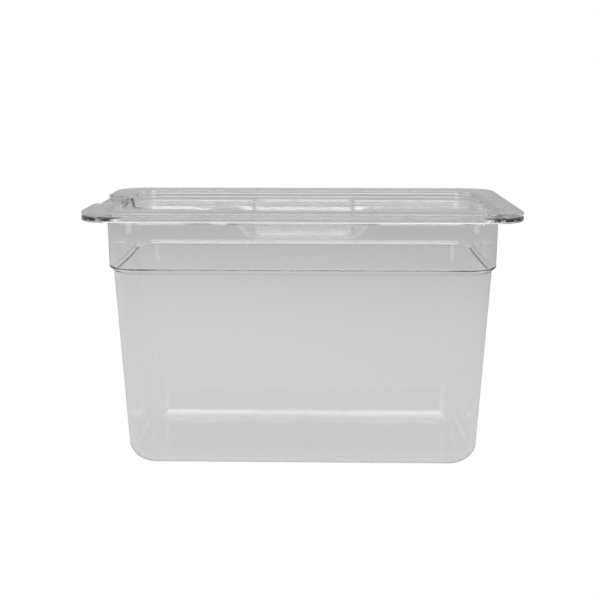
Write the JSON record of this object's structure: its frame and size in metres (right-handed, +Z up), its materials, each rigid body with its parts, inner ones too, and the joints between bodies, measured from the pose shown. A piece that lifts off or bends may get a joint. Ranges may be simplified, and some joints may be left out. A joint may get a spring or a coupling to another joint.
{
  "type": "deli food pan",
  "caption": "Clear rectangular gastronorm food pan with a stacking shoulder and a lift-off lid that has a recessed moulded grip and a ladle notch.",
  "frame": {"origin": "centre of the pan's base, on its underside", "axes": "+X along the long side, away from the ladle notch; +Y along the short side; +Z up, the way the lid lifts"},
  "size_m": [0.325, 0.176, 0.2043],
  "materials": {
    "pan_clear_plastic": "clear injection-moulded polycarbonate, glossy with faint scuffs on the base and shoulder",
    "lid_clear_plastic": "clear injection-moulded polycarbonate, glossy, rim and grip edges lightly worn"
  },
  "bodies": {
    "pan": {"pan": "pan_clear_plastic"},
    "lid": {"notched_lid": "lid_clear_plastic"}
  },
  "joints": [
    {"name": "lid_lift", "type": "slide", "parent": "pan", "child": "lid", "axis": [0, 0, 1], "range_m": [0, 0.12]}
  ]
}
